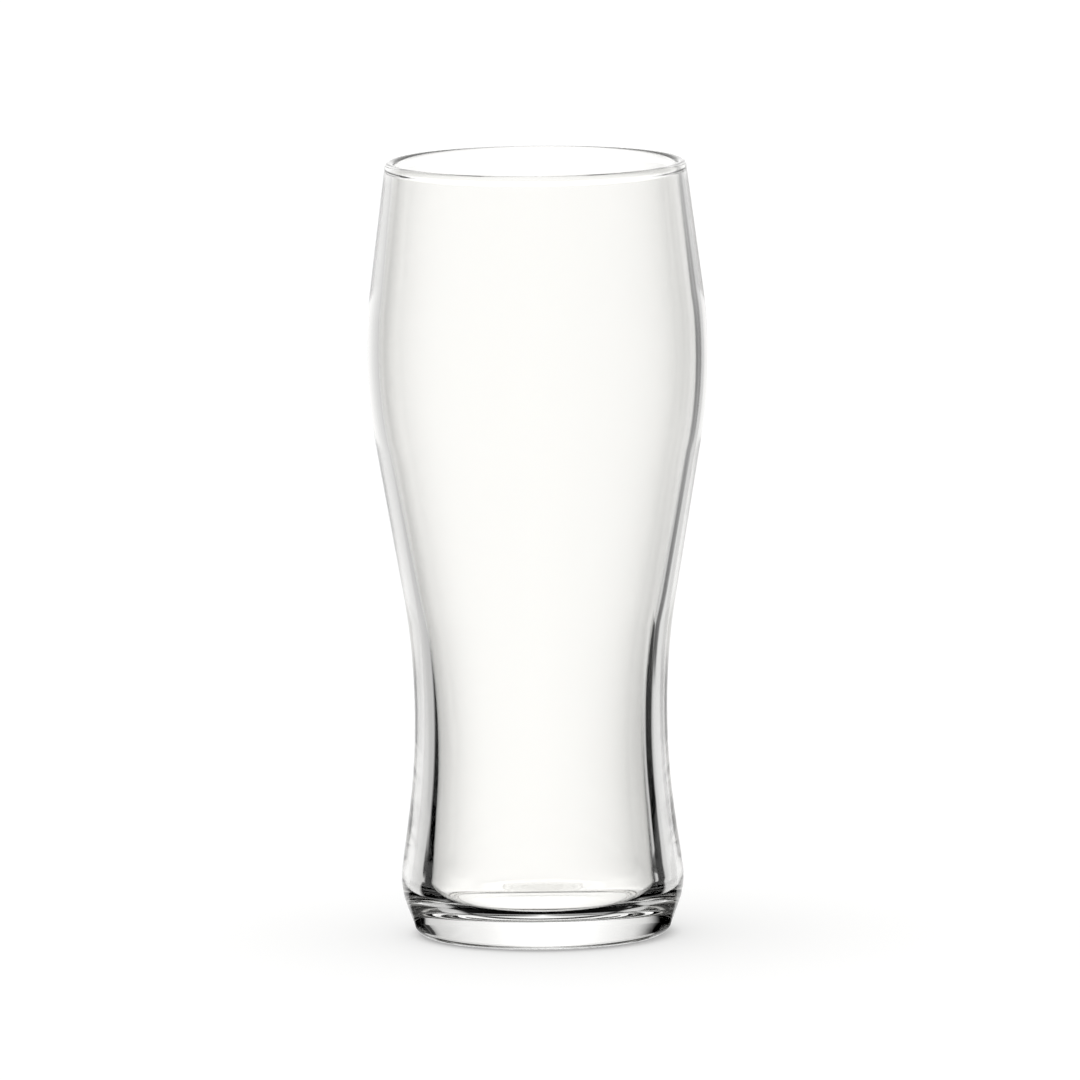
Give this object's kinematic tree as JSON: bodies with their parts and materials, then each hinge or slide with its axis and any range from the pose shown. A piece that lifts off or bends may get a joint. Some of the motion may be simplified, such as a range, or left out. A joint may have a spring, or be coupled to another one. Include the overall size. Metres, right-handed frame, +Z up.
{
  "type": "weizen glass",
  "caption": "Tall clear beer glass with a wide bulge below a fire-polished mouth, a low waist and a thick solid foot.",
  "frame": {"origin": "centre of the ring that the glass stands on, in the table's plane", "axes": "+Z up along the axis that the glass is turned about; X and Y are equal"},
  "size_m": [0.0826, 0.0824, 0.188],
  "materials": {
    "clear_glass": "clear soda-lime glass, smooth, fire-polished at the rim"
  },
  "bodies": {
    "root": {"rim": "clear_glass", "bowl": "clear_glass", "foot": "clear_glass"}
  },
  "joints": []
}
